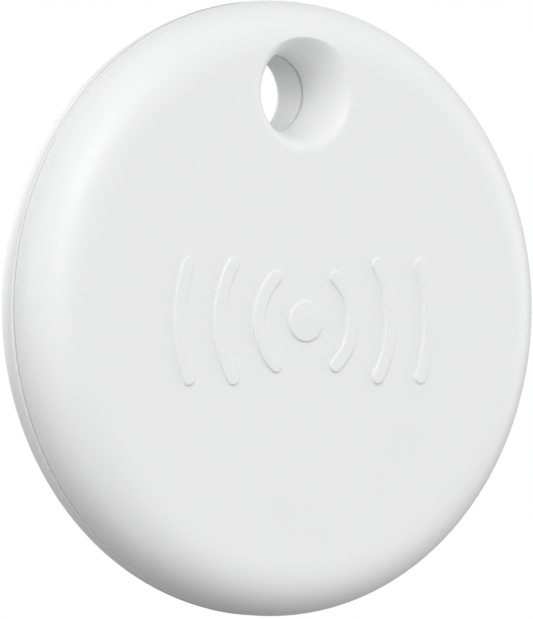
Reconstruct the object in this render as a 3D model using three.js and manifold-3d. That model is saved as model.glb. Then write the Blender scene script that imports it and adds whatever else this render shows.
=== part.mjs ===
// Keyring tracker tag: a round two-part case on a coin cell, in millimetres, +Z up, front towards -Y.
// The origin is the centre of the keyring hole, which runs along Y.
import * as THREE from "three";
import { mergeVertices } from "three/addons/utils/BufferGeometryUtils.js";
import Module from "manifold-3d";

const wasm = await Module();
wasm.setup();

// Driving sizes
const discRadius = 19.4;
const thickness = 7.4; // front face to back face, without the raised mark
const frontWall = 1.1;
const backWall = 1.0;
const frontEdge = 3.3; // radius of the front face's rounded rim
const backEdge = 3.4;
const partingY = 0.1; // middle of the groove round the rim
const grooveGap = 0.3;
const grooveDepth = 0.5;
const skirtReach = 0.4; // how far the front rim's tongue passes the groove's front edge
const lipWall = 0.7;
const lipReach = 1.25; // how far the back half's lip passes its own rim
const sealWall = 0.5;
const sealWidth = 0.6;
const boreRadius = 2.45; // the keyring hole where its two halves meet
const boreDraft = 0.1; // how much wider the bore is at the back fillet
const borePartingY = 0.1;
const flareWidth = 1.35; // the hole's front edge is a quarter of an ellipse, this wide
const flareDepth = 3.3;
const boreBackFillet = 1.1;
const tubeWall = 0.8;
const boreSealWall = 0.2;
const collarWall = 0.5;
const collarReach = 1.35;
const boreSealWidth = 0.8;
const notchMouth = 3.7; // half width of the board's opening above the hole's collar
const cellRadius = 10;
const cellHeight = 3.2;
const cellWall = 0.25;
const cellBevel = 0.35;
const cellStep = 1.92; // from the cell's front to where its gasket starts
const gasketWall = 0.65;
const capHeight = 0.5;
const capBevel = 0.4;
const cradleWall = 0.6;
const cradleReach = 2.65; // forwards of the board
const cradleWindow = 5;
const earRadius = 1.7;
const earThickness = 0.4;
const boardThickness = 0.8;
const boardRest = 0.25; // gap between the board and the back wall
const contactThickness = 0.25;
const contactReach = 7;
const contactWidth = 1.7;
const contactRoot = 1.53; // how far from the middle the arms part
const sideContactThickness = 0.18;
const sideContactWidth = 4;
const sideContactFoot = 1.9;
const sideContactGap = 0.15; // between the strip's bend and the cell
const sideContactLean = 0.75; // how far the strip leans out at its foot
const sideContactFlare = 0.55; // how far its free end turns away from the cell
const sideContactRise = 1; // from the board to where the strip leaves its foot
const sideContactBend = 2; // from the board to the bend that touches the cell
const sideContactTop = 2.8;
const stakeRadius = 0.7;
const stakeHeadRadius = 1.15;
const stakeHeadHeight = 0.4;
const stakeRestRadius = 1.35;
const plateRadius = 9.5;
const plateThickness = 0.15;
const ceramicRadius = 7.1;
const ceramicThickness = 0.15;
const tapeThickness = 0.1;
const tapeWidth = 1.2;
const pinRadius = 0.7;
const pinTipRadius = 0.45;
const pinHeight = 2.55;
const pinFloor = 0.2;
const pinOverlap = 1; // how much of the tip stays in the sleeve
const pinDrop = 0.4; // how far the outer pin stands below the inner one
const pinSpread = 6.1; // how far the outer pin stands to the side of the inner one
const pressTravel = 0.25;
const switchSide = 4;
const switchBaseHeight = 0.95;
const switchCoverThickness = 0.2;
const switchWellRadius = 1.45;
const switchWellDepth = 0.6;
const domeThickness = 0.08;
const domeRise = 0.05;
const domeShoulder = 0.81; // radius where the dome's slope changes
const plungerRadius = 0.8;
const plungerFlange = 1.2;
const plungerStick = 0.5; // how far the plunger stands out of the cover
const postRadius = 1.1;
const markHeight = 0.18;
const markStroke = 0.9;
const markRadii = [3.6, 6.6, 9.6];
const markHalfHeight = 4;
const markDot = 1.3;
const markDrop = 0.8; // the mark's centre below the disc's centre

// Clearances
const ringFit = 0.05; // between a seal and the wall it slides on
const slideFit = 0.1; // between the tongue and the back half's rim
const cellFit = 0.25;
const boardFit = 0.5;
const pinFit = 0.05;
const partFit = 0.2;
const bury = 0.3; // how far a boss starts inside the wall it stands on
const neckOverlap = 0.1; // how far a stake's shaft runs into its head

// Sizes and places that follow
const frontY = -thickness / 2;
const backY = thickness / 2;
const frontRimY = partingY - grooveGap / 2;
const backRimY = partingY + grooveGap / 2;
const grooveRadius = discRadius - grooveDepth;
const tongueRadius = grooveRadius - ringFit;
const cavityRadius = discRadius - frontWall;
const sealOuter = cavityRadius - ringFit - slideFit;
const lipOuter = sealOuter - sealWall - ringFit;
const lipInner = lipOuter - lipWall;
const boardRadius = lipInner - boardFit;
const tubeOuter = boreRadius + tubeWall;
const boreSealInner = tubeOuter + ringFit;
const boreSealOuter = boreSealInner + boreSealWall;
const socketRadius = boreSealOuter + ringFit;
const collarOuter = socketRadius + collarWall;
const holeToCentre = lipOuter - collarOuter;
const boardBackY = backY - backWall - boardRest;
const boardY = boardBackY - boardThickness; // the board's front face
const cellBackY = boardY - contactThickness;
const cellFrontY = cellBackY - cellHeight;
const gasketOuter = cellRadius - cellWall - ringFit;
const gasketInner = gasketOuter - gasketWall;
const capRadius = gasketInner - ringFit;
const cradleOuter = cellRadius + cellFit + cradleWall;
const cellZ = -(boardRadius - cradleOuter);
const innerWallY = frontY + frontWall;
const plateY = innerWallY + tapeThickness;
const ceramicY = plateY + plateThickness;
const ceramicBackY = ceramicY + ceramicThickness;
const innerPinZ = cellZ + cradleOuter + pinRadius + partFit;
const plateZ = innerPinZ + pinTipRadius + partFit - ceramicRadius;
const cellStepY = cellFrontY + cellStep;
const switchHeight = switchBaseHeight + switchCoverThickness + plungerStick;
const switchTopY = boardY - switchBaseHeight;
const plungerFlangeHeight =
  switchWellDepth - domeThickness - domeRise - pressTravel - pinFit / 2;

const RIM_STEPS = 60;
const SMALL_STEPS = 36;

// Closed, welded geometry without zero-area faces, ready to be combined.
function weld(geometry) {
  const bare = geometry.clone();
  bare.deleteAttribute("normal");
  bare.deleteAttribute("uv");
  const merged = mergeVertices(bare, 1e-4);
  const kept = [];
  const index = merged.index.array;
  for (let i = 0; i < index.length; i += 3) {
    const [a, b, c] = [index[i], index[i + 1], index[i + 2]];
    if (a !== b && b !== c && c !== a) kept.push(a, b, c);
  }
  merged.setIndex(kept);
  return merged;
}

function solid(geometry) {
  const merged = weld(geometry);
  return new wasm.Manifold(
    new wasm.Mesh({
      numProp: 3,
      vertProperties: merged.attributes.position.array,
      triVerts: new Uint32Array(merged.index.array),
    }),
  );
}

// The first geometry with the added ones joined on and the cut ones taken away.
function combine(base, added, cut = []) {
  let result = solid(base);
  for (const piece of added) result = result.add(solid(piece));
  for (const piece of cut) result = result.subtract(solid(piece));
  const mesh = result.getMesh();
  const geometry = new THREE.BufferGeometry();
  geometry.setAttribute("position", new THREE.BufferAttribute(mesh.vertProperties, 3));
  geometry.setIndex(new THREE.BufferAttribute(mesh.triVerts, 1));
  return geometry;
}

// Points of an arc from angle a to angle b, in degrees.
function arc(x, y, radius, a, b, steps) {
  return Array.from({ length: steps + 1 }, (_, i) => {
    const angle = THREE.MathUtils.degToRad(a + ((b - a) * i) / steps);
    return [x + radius * Math.cos(angle), y + radius * Math.sin(angle)];
  });
}

// A solid turned about a Y axis through (x, z), from [radius, y] points that run anticlockwise.
function turned(points, x = 0, z = 0, steps = SMALL_STEPS) {
  const profile = points.map(([r, y]) => new THREE.Vector2(Math.max(r, 0), y));
  return weld(new THREE.LatheGeometry(profile, steps)).translate(x, 0, z);
}

function disc(radius, y0, y1, x = 0, z = 0, steps = SMALL_STEPS) {
  return turned([[0, y0], [radius, y0], [radius, y1], [0, y1]], x, z, steps);
}

function tube(inner, outer, y0, y1, x = 0, z = 0, steps = SMALL_STEPS) {
  return turned([[inner, y0], [outer, y0], [outer, y1], [inner, y1], [inner, y0]], x, z, steps);
}

function block(x0, x1, y0, y1, z0, z1) {
  const box = new THREE.BoxGeometry(x1 - x0, y1 - y0, z1 - z0);
  return box.translate((x0 + x1) / 2, (y0 + y1) / 2, (z0 + z1) / 2);
}

// A flat outline of [x, z] points, as a plate from y0 to y1.
function plate(points, y0, y1) {
  const shape = new THREE.Shape(points.map(([x, z]) => new THREE.Vector2(x, z)));
  const slab = new THREE.ExtrudeGeometry(shape, { depth: y1 - y0, bevelEnabled: false });
  return slab.rotateX(Math.PI / 2).translate(0, y1, 0);
}

// A place on the board: degrees anticlockwise from +X, and how far in from the board's edge.
function onBoard(degrees, inset) {
  const angle = THREE.MathUtils.degToRad(degrees);
  return [(boardRadius - inset) * Math.cos(angle), (boardRadius - inset) * Math.sin(angle)];
}
const switchAt = onBoard(41.3, 5.5);
const stakes = [onBoard(219.6, 1.35), onBoard(-39.6, 1.35), onBoard(62.5, 2.55)];
const ears = stakes.slice(0, 2);

function boreTool() {
  const [mouth, throatY] = [boreRadius + flareWidth, frontY + flareDepth];
  const flare = arc(0, 0, 1, -90, -180, 10);
  const back = backY - boreBackFillet;
  const rBack = boreRadius + boreDraft;
  return turned(
    [
      [0, frontY - 1],
      [mouth, frontY - 1],
      ...flare.map(([x, y]) => [mouth + flareWidth * x, throatY + flareDepth * y]),
      [boreRadius, borePartingY],
      ...arc(rBack + boreBackFillet, back, boreBackFillet, 180, 90, 6),
      [rBack + boreBackFillet, backY + 1],
      [0, backY + 1],
    ],
    0,
    holeToCentre,
    48,
  );
}

// One raised arc of the mark, with round ends, on the side of the given sign.
function markArc(radius, side) {
  const reach = Math.min((markHalfHeight - markStroke / 2) / radius, 0.77);
  const half = THREE.MathUtils.radToDeg(Math.asin(reach));
  const [r0, r1, cap] = [radius - markStroke / 2, radius + markStroke / 2, markStroke / 2];
  const turn = THREE.MathUtils.degToRad(half);
  const end = (sign) => [radius * Math.cos(turn), sign * radius * Math.sin(turn)];
  const points = [
    ...arc(0, 0, r1, -half, half, 8),
    ...arc(...end(1), cap, half, half + 180, 4).slice(1, -1),
    ...arc(0, 0, r0, half, -half, 8),
    ...arc(...end(-1), cap, -half + 180, -half + 360, 4).slice(1, -1),
  ].map(([x, z]) => [side * x, z - markDrop]);
  return plate(side > 0 ? points : points.reverse(), frontY - markHeight, frontY + bury);
}

function frontShell() {
  const [x, y] = [discRadius - frontEdge, frontY + frontEdge];
  const tongueY = frontRimY + skirtReach;
  const skin = turned(
    [
      [0, frontY],
      ...arc(x, y, frontEdge, -90, 0, 7),
      [discRadius, frontRimY],
      [tongueRadius, frontRimY],
      [tongueRadius, tongueY],
      [cavityRadius, tongueY],
      ...arc(x, y, frontEdge - frontWall, 0, -90, 4),
      [0, innerWallY],
    ],
    0,
    0,
    RIM_STEPS,
  );
  const tubeEnd = borePartingY - grooveGap / 2;
  const marks = markRadii.flatMap((r) => [markArc(r, 1), markArc(r, -1)]);
  return combine(
    skin,
    [
      disc(tubeOuter, innerWallY - bury, tubeEnd, 0, holeToCentre),
      disc(postRadius, innerWallY - bury, boardY - switchHeight - pinFit, ...switchAt, 24),
      disc(markDot, frontY - markHeight, frontY + bury, 0, -markDrop, 24),
      ...marks,
    ],
    [boreTool()],
  );
}

function backShell() {
  const [x, y] = [discRadius - backEdge, backY - backEdge];
  const inner = backEdge - backWall;
  const lipAngle = THREE.MathUtils.radToDeg(Math.acos((lipInner - x) / inner));
  const floorY = frontRimY + skirtReach + grooveGap;
  const skin = turned(
    [
      [0, backY - backWall],
      ...arc(x, y, inner, 90, lipAngle, 2),
      [lipInner, backRimY - lipReach],
      [lipOuter, backRimY - lipReach],
      [lipOuter, floorY],
      [grooveRadius + slideFit, floorY],
      [grooveRadius + slideFit, backRimY],
      [discRadius, backRimY],
      ...arc(x, y, backEdge, 0, 90, 7),
      [0, backY],
    ],
    0,
    0,
    RIM_STEPS,
  );
  const innerBackY = backY - backWall + bury;
  const posts = stakes.flatMap(([sx, sz], i) => {
    const top = boardY - (i < ears.length ? earThickness : 0);
    return [
      disc(stakeRestRadius, boardBackY, innerBackY, sx, sz, 18),
      disc(stakeRadius, top - neckOverlap, innerBackY, sx, sz, 18),
      disc(stakeHeadRadius, top - stakeHeadHeight, top, sx, sz, 18),
    ];
  });
  const socketY = borePartingY + grooveGap / 2;
  const collar = disc(collarOuter, socketY - collarReach, innerBackY, 0, holeToCentre);
  const socket = disc(socketRadius, frontY, socketY, 0, holeToCentre);
  return combine(skin, [collar, ...posts], [boreTool(), socket]);
}

function circuitBoard() {
  const round = disc(boardRadius, boardY, boardBackY, 0, 0, 60);
  const notch = disc(collarOuter + partFit * 2, frontY, backY, 0, holeToCentre);
  const cut = block(-notchMouth, notchMouth, frontY, backY, holeToCentre, holeToCentre + discRadius);
  const holes = stakes.map(([x, z]) => disc(stakeRadius + partFit, frontY, backY, x, z, 18));
  return combine(round, [], [notch, cut, ...holes]);
}

// A bar between two places, of the given half width.
function bridge(x0, z0, x1, z1, half, y0, y1) {
  const [dx, dz] = [x1 - x0, z1 - z0];
  const length = Math.hypot(dx, dz);
  const [ax, az] = [(-dz / length) * half, (dx / length) * half];
  const outline = [[x0 - ax, z0 - az], [x1 - ax, z1 - az], [x1 + ax, z1 + az], [x0 + ax, z0 + az]];
  return plate(outline, y0, y1);
}

function cradle() {
  const ring = tube(cellRadius + cellFit, cradleOuter, boardY - cradleReach, boardY, 0, cellZ, 48);
  const earsOn = ears.flatMap(([x, z]) => [
    disc(earRadius, boardY - earThickness, boardY, x, z, 24),
    bridge(x, z, 0, cellZ, earRadius, boardY - earThickness, boardY),
  ]);
  const holes = ears.map(([x, z]) => disc(stakeRadius + partFit, frontY, backY, x, z, 18));
  const half = cradleWindow / 2;
  const window = block(cellRadius / 2, discRadius, frontY, backY, cellZ - half, cellZ + half);
  const cell = disc(cellRadius + cellFit, frontY, backY, 0, cellZ, 48);
  return combine(ring, earsOn, [...holes, window, cell]);
}

// The spring strip that presses on the side of the cell, seen along Z, offset to both sides of its line.
function sideContact() {
  const half = sideContactThickness / 2;
  const x = cellRadius + sideContactGap + half;
  const footX = x + sideContactLean;
  const line = [
    [footX + sideContactFoot, boardY - half],
    [footX, boardY - half],
    [footX, boardY - sideContactRise],
    [x, boardY - sideContactBend],
    [x + sideContactFlare, boardY - sideContactTop],
  ].map(([a, b]) => new THREE.Vector2(a, b));
  const sideOf = (sign) =>
    line.map((point, i) => {
      const before = line[Math.max(i - 1, 0)];
      const after = line[Math.min(i + 1, line.length - 1)];
      const a = point === before ? after.clone().sub(point) : point.clone().sub(before);
      const b = point === after ? a.clone() : after.clone().sub(point);
      const [na, nb] = [a, b].map((v) => new THREE.Vector2(-v.y, v.x).normalize());
      const mitre = na.clone().add(nb).normalize();
      return point.clone().addScaledVector(mitre, (sign * half) / mitre.dot(na));
    });
  const shape = new THREE.Shape([...sideOf(1), ...sideOf(-1).reverse()]);
  const strip = new THREE.ExtrudeGeometry(shape, {
    depth: sideContactWidth,
    bevelEnabled: false,
  });
  return strip.translate(0, 0, cellZ - sideContactWidth / 2);
}

// Three arms under the cell, joined at its middle.
function underContact() {
  const half = contactWidth / 2;
  const points = [0, 1, 2].flatMap((i) => {
    const a = THREE.MathUtils.degToRad(90 + 120 * i);
    const [along, across] = [[Math.cos(a), Math.sin(a)], [-Math.sin(a), Math.cos(a)]];
    const corner = (r, s) => [along[0] * r + across[0] * s, along[1] * r + across[1] * s + cellZ];
    return [
      corner(contactRoot, -half),
      corner(contactReach, -half),
      corner(contactReach, half),
      corner(contactRoot, half),
    ];
  });
  return plate(points, cellBackY, boardY);
}

function cellCan() {
  const r = cellRadius;
  const rim = arc(r - cellBevel, cellFrontY + cellBevel, cellBevel, -90, 0, 2);
  return turned(
    [
      [0, cellFrontY],
      ...rim,
      [r, cellBackY - cellWall],
      [r - cellWall, cellBackY - cellWall],
      [r - cellWall, cellFrontY + cellWall * 2],
      [r - cellWall * 2, cellFrontY + cellWall],
      [0, cellFrontY + cellWall],
    ],
    0,
    cellZ,
    48,
  );
}

function cellCap() {
  return turned(
    [
      [0, cellBackY - cellWall],
      [capRadius - capBevel - cellWall, cellBackY - cellWall],
      [capRadius - cellWall, cellBackY - capHeight],
      [capRadius, cellBackY - capHeight],
      [capRadius - capBevel, cellBackY],
      [0, cellBackY],
    ],
    0,
    cellZ,
    48,
  );
}

function cellCore() {
  const [wide, narrow] = [cellRadius - cellWall - ringFit * 2, capRadius - capBevel - cellWall - ringFit];
  return turned(
    [
      [0, cellFrontY + cellWall],
      [wide - cellWall, cellFrontY + cellWall],
      [wide, cellFrontY + cellWall * 2],
      [wide, cellStepY],
      [narrow, cellStepY],
      [narrow, cellBackY - cellWall],
      [0, cellBackY - cellWall],
    ],
    0,
    cellZ,
    48,
  );
}

function cellGasket() {
  return tube(gasketInner, gasketOuter, cellStepY, cellBackY - cellWall / 2, 0, cellZ, 48);
}

// A spring pin: its sleeve on the board, open at the front, and the tip that slides in it.
function pinSleeve(x, z) {
  const top = boardY - pinHeight;
  const bore = pinTipRadius + pinFit;
  const floor = boardY - pinFloor;
  const outside = [[pinRadius, top], [pinRadius, boardY], [0, boardY]];
  return turned([[0, floor], [bore, floor], [bore, top], ...outside], x, z, 20);
}

function pinTip(x, z, touchY) {
  const y0 = touchY + pinFit;
  const back = boardY - pinHeight + pinOverlap;
  const round = arc(0, y0 + pinTipRadius, pinTipRadius, -90, 0, 4);
  return turned([...round, [pinTipRadius, back], [0, back]], x, z, 20);
}

const pins = [
  ["inner", 0, innerPinZ, ceramicBackY],
  ["outer", -pinSpread, innerPinZ - pinDrop, ceramicY],
];

// The press switch: base with a well, contact dome in the well, cover plate and sliding plunger.
const [switchX, switchZ] = switchAt;

function switchBlock(y0, y1) {
  const half = switchSide / 2;
  return block(switchX - half, switchX + half, y0, y1, switchZ - half, switchZ + half);
}

function switchBase() {
  const well = disc(switchWellRadius, frontY, switchTopY + switchWellDepth, switchX, switchZ, 24);
  return combine(switchBlock(switchTopY, boardY), [], [well]);
}

function switchCover() {
  const hole = disc(plungerRadius + slideFit, frontY, backY, switchX, switchZ, 24);
  return combine(switchBlock(switchTopY - switchCoverThickness, switchTopY), [], [hole]);
}

function switchPlunger() {
  const top = switchTopY - switchCoverThickness - plungerStick;
  const flangeBack = switchTopY + plungerFlangeHeight;
  return turned(
    [
      [0, top],
      [plungerRadius, top],
      [plungerRadius, switchTopY],
      [plungerFlange, switchTopY],
      [plungerFlange, flangeBack],
      [0, flangeBack],
    ],
    switchX,
    switchZ,
    24,
  );
}

function switchDome() {
  const y = switchTopY + switchWellDepth;
  const r = switchWellRadius - slideFit;
  const shoulderRise = domeRise / 2;
  return turned(
    [
      [0, y - domeThickness - domeRise],
      [domeShoulder, y - domeThickness - shoulderRise],
      [r, y - domeThickness],
      [r, y],
      [domeShoulder, y - shoulderRise],
      [0, y - domeRise],
    ],
    switchX,
    switchZ,
    24,
  );
}

// A part soldered flat on the board: its place, and its size across, up and forwards.
function chip([x, z], width, height, depth, turn = 0) {
  const box = new THREE.BoxGeometry(width, depth, height).rotateY(-turn * (Math.PI / 180));
  return box.translate(x, boardY - depth / 2, z);
}

const WHITE = [0xf2f2f0, 0.45, 0];
const STEEL = [0xb9bbbd, 0.3, 0.9];
const GOLD = [0xd2ab5a, 0.3, 0.9];
const BRASS = [0xc9a24f, 0.35, 0.9];
const DARK = [0x26272a, 0.5, 0];
const GREY = [0x8f9296, 0.6, 0];

const tag = new THREE.Group();
tag.name = "tracker_tag";
tag.position.z = -holeToCentre;

function add(name, geometry, [color, roughness, metalness]) {
  const material = new THREE.MeshStandardMaterial({ color, roughness, metalness });
  material.flatShading = true;
  const mesh = new THREE.Mesh(geometry, material);
  mesh.name = name;
  tag.add(mesh);
}

add("front_shell", frontShell(), WHITE);
add("back_shell", backShell(), WHITE);
const sealY = frontRimY - sealWidth;
add("seal_ring", tube(lipOuter + ringFit, sealOuter, sealY, frontRimY, 0, 0, RIM_STEPS), GREY);
const boreSealY = borePartingY - grooveGap / 2;
add(
  "hole_seal_ring",
  tube(boreSealInner, boreSealOuter, boreSealY - boreSealWidth, boreSealY, 0, holeToCentre),
  GREY,
);
add(
  "piezo_tape",
  tube(plateRadius - tapeWidth, plateRadius - ringFit, innerWallY, plateY, 0, plateZ, 48),
  DARK,
);
add("piezo_plate", disc(plateRadius, plateY, ceramicY, 0, plateZ, 48), BRASS);
add("piezo_ceramic", disc(ceramicRadius, ceramicY, ceramicBackY, 0, plateZ, 48), WHITE);
add("circuit_board", circuitBoard(), [0x1d5a3c, 0.4, 0]);
add("battery_cradle", cradle(), DARK);
add("battery_can", cellCan(), STEEL);
add("battery_cap", cellCap(), STEEL);
add("battery_core", cellCore(), DARK);
add("battery_gasket", cellGasket(), GREY);
add("side_contact", sideContact(), GOLD);
add("under_contact", underContact(), GOLD);
for (const [name, x, z, touchY] of pins) {
  add(`${name}_pin_sleeve`, pinSleeve(x, z), GOLD);
  add(`${name}_pin_tip`, pinTip(x, z, touchY), GOLD);
}
add("switch_base", switchBase(), DARK);
add("switch_dome", switchDome(), STEEL);
add("switch_cover", switchCover(), STEEL);
add("switch_plunger", switchPlunger(), [0x3a3c40, 0.5, 0]);
add("radio_chip", chip(onBoard(149.8, 5.3), 5, 5, 0.85), DARK);
add("radio_crystal", chip(onBoard(174.1, 2.95), 2, 2.5, 0.6), STEEL);
add("clock_crystal", chip(onBoard(187, 3.2), 1.5, 3.2, 0.75), STEEL);
add("chip_antenna", chip(onBoard(129.3, 2.2), 6, 2, 1, 39), WHITE);
add("sounder_chip", chip(onBoard(22, 3.25), 3, 3, 0.75), DARK);
add("boost_coil", chip(onBoard(2.9, 3.2), 3, 3, 1.2), GREY);
add("bulk_capacitor", chip(onBoard(201.8, 2.4), 2.5, 3.2, 1.7), [0xb08a5c, 0.5, 0]);

export default tag;
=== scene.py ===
"""A keyring tracker tag: a white two-part case on a coin cell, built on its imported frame."""

import math

import bmesh
import bpy
from mathutils import Matrix, Vector

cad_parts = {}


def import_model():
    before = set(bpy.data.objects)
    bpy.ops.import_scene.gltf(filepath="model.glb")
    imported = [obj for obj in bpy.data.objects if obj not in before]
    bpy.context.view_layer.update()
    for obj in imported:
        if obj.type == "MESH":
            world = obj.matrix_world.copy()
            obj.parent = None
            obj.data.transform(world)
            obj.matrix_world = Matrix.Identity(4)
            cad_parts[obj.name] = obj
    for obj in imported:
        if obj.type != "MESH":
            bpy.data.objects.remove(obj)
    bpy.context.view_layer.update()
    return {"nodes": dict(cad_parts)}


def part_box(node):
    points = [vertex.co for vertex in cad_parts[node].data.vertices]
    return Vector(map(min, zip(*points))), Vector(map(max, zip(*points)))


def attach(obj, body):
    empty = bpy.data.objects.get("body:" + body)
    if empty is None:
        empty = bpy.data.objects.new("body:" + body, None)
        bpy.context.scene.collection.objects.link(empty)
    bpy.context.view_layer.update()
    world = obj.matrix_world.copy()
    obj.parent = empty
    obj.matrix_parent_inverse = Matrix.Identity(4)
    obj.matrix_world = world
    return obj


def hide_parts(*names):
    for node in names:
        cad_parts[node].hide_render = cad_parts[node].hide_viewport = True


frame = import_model()

MM = 0.001
TURN = 2 * math.pi

# Gaps between pieces, in millimetres
RING_FIT = 0.05
SLIDE_FIT = 0.1
PART_FIT = 0.2
CELL_FIT = 0.25
BOARD_FIT = 0.5
BURY = 0.3  # how far a boss starts inside the wall it stands on
NECK = 0.1  # how far a stake's shaft runs into its head

# Sizes of the case's skin, in millimetres, as the CAD holds them
FRONT_EDGE = 3.3
BACK_EDGE = 3.4
FRONT_WALL = 1.1
BACK_WALL = 1.0
GROOVE_DEPTH = 0.5
TONGUE_REACH = 0.4
LIP_WALL = 0.7
LIP_GAP = 0.7  # between the front's cavity and the back's lip, round the rim seal
LIP_REACH = 1.25
GROOVE = 0.3
BORE = 2.45
BORE_DRAFT = 0.1
FLARE_WIDTH = 1.35
FLARE_DEPTH = 3.3
BORE_BACK_FILLET = 1.1
BORE_PARTING = 0.1
TUBE_WALL = 0.8
HOLE_SEAL_WALL = 0.2
RIM_SEAL_WALL = 0.5
COLLAR_WALL = 0.5
COLLAR_REACH = 1.35
MARK_HEIGHT = 0.18
MARK_STROKE = 0.9
MARK_RADII = (3.6, 6.6, 9.6)
MARK_HALF_HEIGHT = 4.0
MARK_DOT = 1.3
MARK_DROP = 0.8
MARK_WIDEST = 0.77  # sine of the widest half sweep of a stroke

# The finer shape of the skin, in millimetres
RIM_POWER = 2.2  # 2 is a true quarter round, and more is squarer
RIM_LEAD = 0.3  # how far inside the rim's round the flat face gets its last ring of points
FRONT_CORNER = 0.09  # rounding of the groove's front edge
BACK_CORNER = 0.2  # rounding of the groove's back edge
MARK_SOFT = 0.13  # rounding of the strokes' upper edges
MARK_ROOT = 0.1  # how far the strokes reach into the face

# Sizes of what is inside, in millimetres
EAR = 1.7
EAR_THICKNESS = 0.4
STAKE = 0.7
STAKE_HEAD = 1.15
STAKE_HEAD_HEIGHT = 0.4
STAKE_REST = 1.35
CELL_WALL = 0.25
CRADLE_WALL = 0.6
CRADLE_WINDOW = 5.0
CRADLE_WINDOW_START = 5.0
PIN_TIP = 0.45
SWITCH_WELL = 1.45
PLUNGER = 0.8
POST = 1.1
ANTENNA_TURN = 39
EASED = 0.04  # how far moulded and cut edges are rounded
TAPE_WIDTH = 1.2
BARE_RIM = 0.7  # how far the silver stops short of the ceramic's rim
NOTCH_MOUTH = 3.7
DISH = 0.04  # how deep the cell's face is pressed in
CAN_ROUND = 0.35
CAP_ROUND = 0.15
CRIMP = 0.12
CAP_TAPER = 0.4
GASKET_WALL = 0.65
PLUS_ARM = 1.5
PLUS_HALF = 0.2
PLUS_PLACE = 5.5  # from the cell's middle
SPRING_GAUGE = 0.18
SPRING_BEND = 0.22
SPRING_LEAN = 0.75
SPRING_FLARE = 0.55
UNDER_HUB = 1.8
UNDER_ARM = 7.0
UNDER_HALF = 0.85
PIN = 0.7
PIN_FOOT = 0.82
PIN_FLOOR = 0.2
DOME_GAUGE = 0.08
DOME_RISE = 0.05
DOME_SHOULDER = 0.81
RIVET = 0.24
RIVET_PLACE = 1.55
LEG_PLACE = 1.15

# Places read from the frame, in millimetres
front_low, front_high = (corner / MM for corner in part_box("front_shell"))
back_low, back_high = (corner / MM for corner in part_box("back_shell"))
DISC = (back_high.x - back_low.x) / 2
DISC_Z = (back_high.z + back_low.z) / 2
BACK = back_high.y
FRONT = front_low.y + MARK_HEIGHT


# ---------------------------------------------------------------- shader maths


class Value:
    """A node's output that works in Python sums."""

    def __init__(self, finish, socket):
        self.finish = finish
        self.socket = socket

    def math(self, operation, *others):
        return self.finish.node("ShaderNodeMath", {"operation": operation}, [self, *others])

    def __add__(self, other):
        return self.math("ADD", other)

    __radd__ = __add__

    def __mul__(self, other):
        return self.math("MULTIPLY", other)

    __rmul__ = __mul__

    def __sub__(self, other):
        return self.math("SUBTRACT", other)

    def __rsub__(self, other):
        return (self * -1) + other

    def vector(self, operation, other, output=0):
        settings = {"operation": operation}
        return self.finish.node("ShaderNodeVectorMath", settings, [self, other], output)


class Finish:
    """A material under construction, with one method that makes every node."""

    def __init__(self, name, tree=None):
        if tree is None:
            self.material = bpy.data.materials.new(name)
            self.material.use_nodes = True
            tree = self.material.node_tree
        self.tree = tree
        self.tree.nodes.clear()

    def node(self, kind, settings=None, inputs=(), output=0):
        made = self.tree.nodes.new(kind)
        for key, value in (settings or {}).items():
            if key == "stops":
                self.fill_ramp(made.color_ramp, value)
            else:
                setattr(made, key, value)
        pairs = inputs.items() if isinstance(inputs, dict) else enumerate(inputs)
        for key, value in pairs:
            if isinstance(value, Value):
                self.tree.links.new(value.socket, made.inputs[key])
            else:
                made.inputs[key].default_value = value
        return Value(self, made.outputs[output]) if made.outputs else made

    def fill_ramp(self, ramp, stops):
        while len(ramp.elements) < len(stops):
            ramp.elements.new(0.5)
        for element, (position, colour) in zip(ramp.elements, stops):
            element.position = position
            element.color = colour

    def place(self):
        return self.node("ShaderNodeTexCoord", output="Object")

    def noise(self, scale, detail=3.0, stretch=(1, 1, 1)):
        place = self.place().vector("MULTIPLY", stretch)
        inputs = {"Vector": place, "Scale": scale, "Detail": detail, "Roughness": 0.55}
        return self.node("ShaderNodeTexNoise", {}, inputs)

    def rings(self, radius, scale, detail=3.0):
        inputs = {"W": radius, "Scale": scale, "Detail": detail}
        return self.node("ShaderNodeTexNoise", {"noise_dimensions": "1D"}, inputs)

    def radius(self, x, z):
        """Distance in metres from the Y axis through (x, z), given in millimetres."""
        offset = self.place().vector("SUBTRACT", (x * MM, 0, z * MM))
        return offset.vector("MULTIPLY", (1, 0, 1)).vector("LENGTH", (0, 0, 0), "Value")

    def edge(self, value, low, high):
        """0 below low, 1 above high, and smooth between."""
        settings = {"interpolation_type": "SMOOTHSTEP"}
        inputs = {"Value": value, "From Min": low, "From Max": high}
        return self.node("ShaderNodeMapRange", settings, inputs)

    def mix(self, factor, first, second):
        settings = {"data_type": "RGBA", "blend_type": "MIX"}
        return self.node("ShaderNodeMix", settings, {0: factor, 6: first, 7: second}, output=2)

    def bump(self, height, strength, distance):
        inputs = {"Strength": strength, "Distance": distance, "Height": height}
        return self.node("ShaderNodeBump", {}, inputs)

    def surface(self, **inputs):
        named = {key.replace("_", " "): value for key, value in inputs.items()}
        shader = self.node("ShaderNodeBsdfPrincipled", {}, named)
        self.node("ShaderNodeOutputMaterial", {}, [shader])
        return self.material


def rgb(*levels):
    return (*levels, 1.0)


# ---------------------------------------------------------------- finishes


def case_white():
    """Satin moulded plastic: faint flow clouds and a fine grain."""
    finish = Finish("case_white")
    cloud = finish.noise(90, 4)
    grain = finish.noise(9000, 2)
    colour = finish.mix(cloud, rgb(0.85, 0.852, 0.856), rgb(0.875, 0.876, 0.878))
    return finish.surface(
        Base_Color=colour,
        Roughness=cloud * 0.08 + 0.40,
        Normal=finish.bump(grain, 0.25, 0.00001),
        Specular_IOR_Level=0.5,
    )


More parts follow.
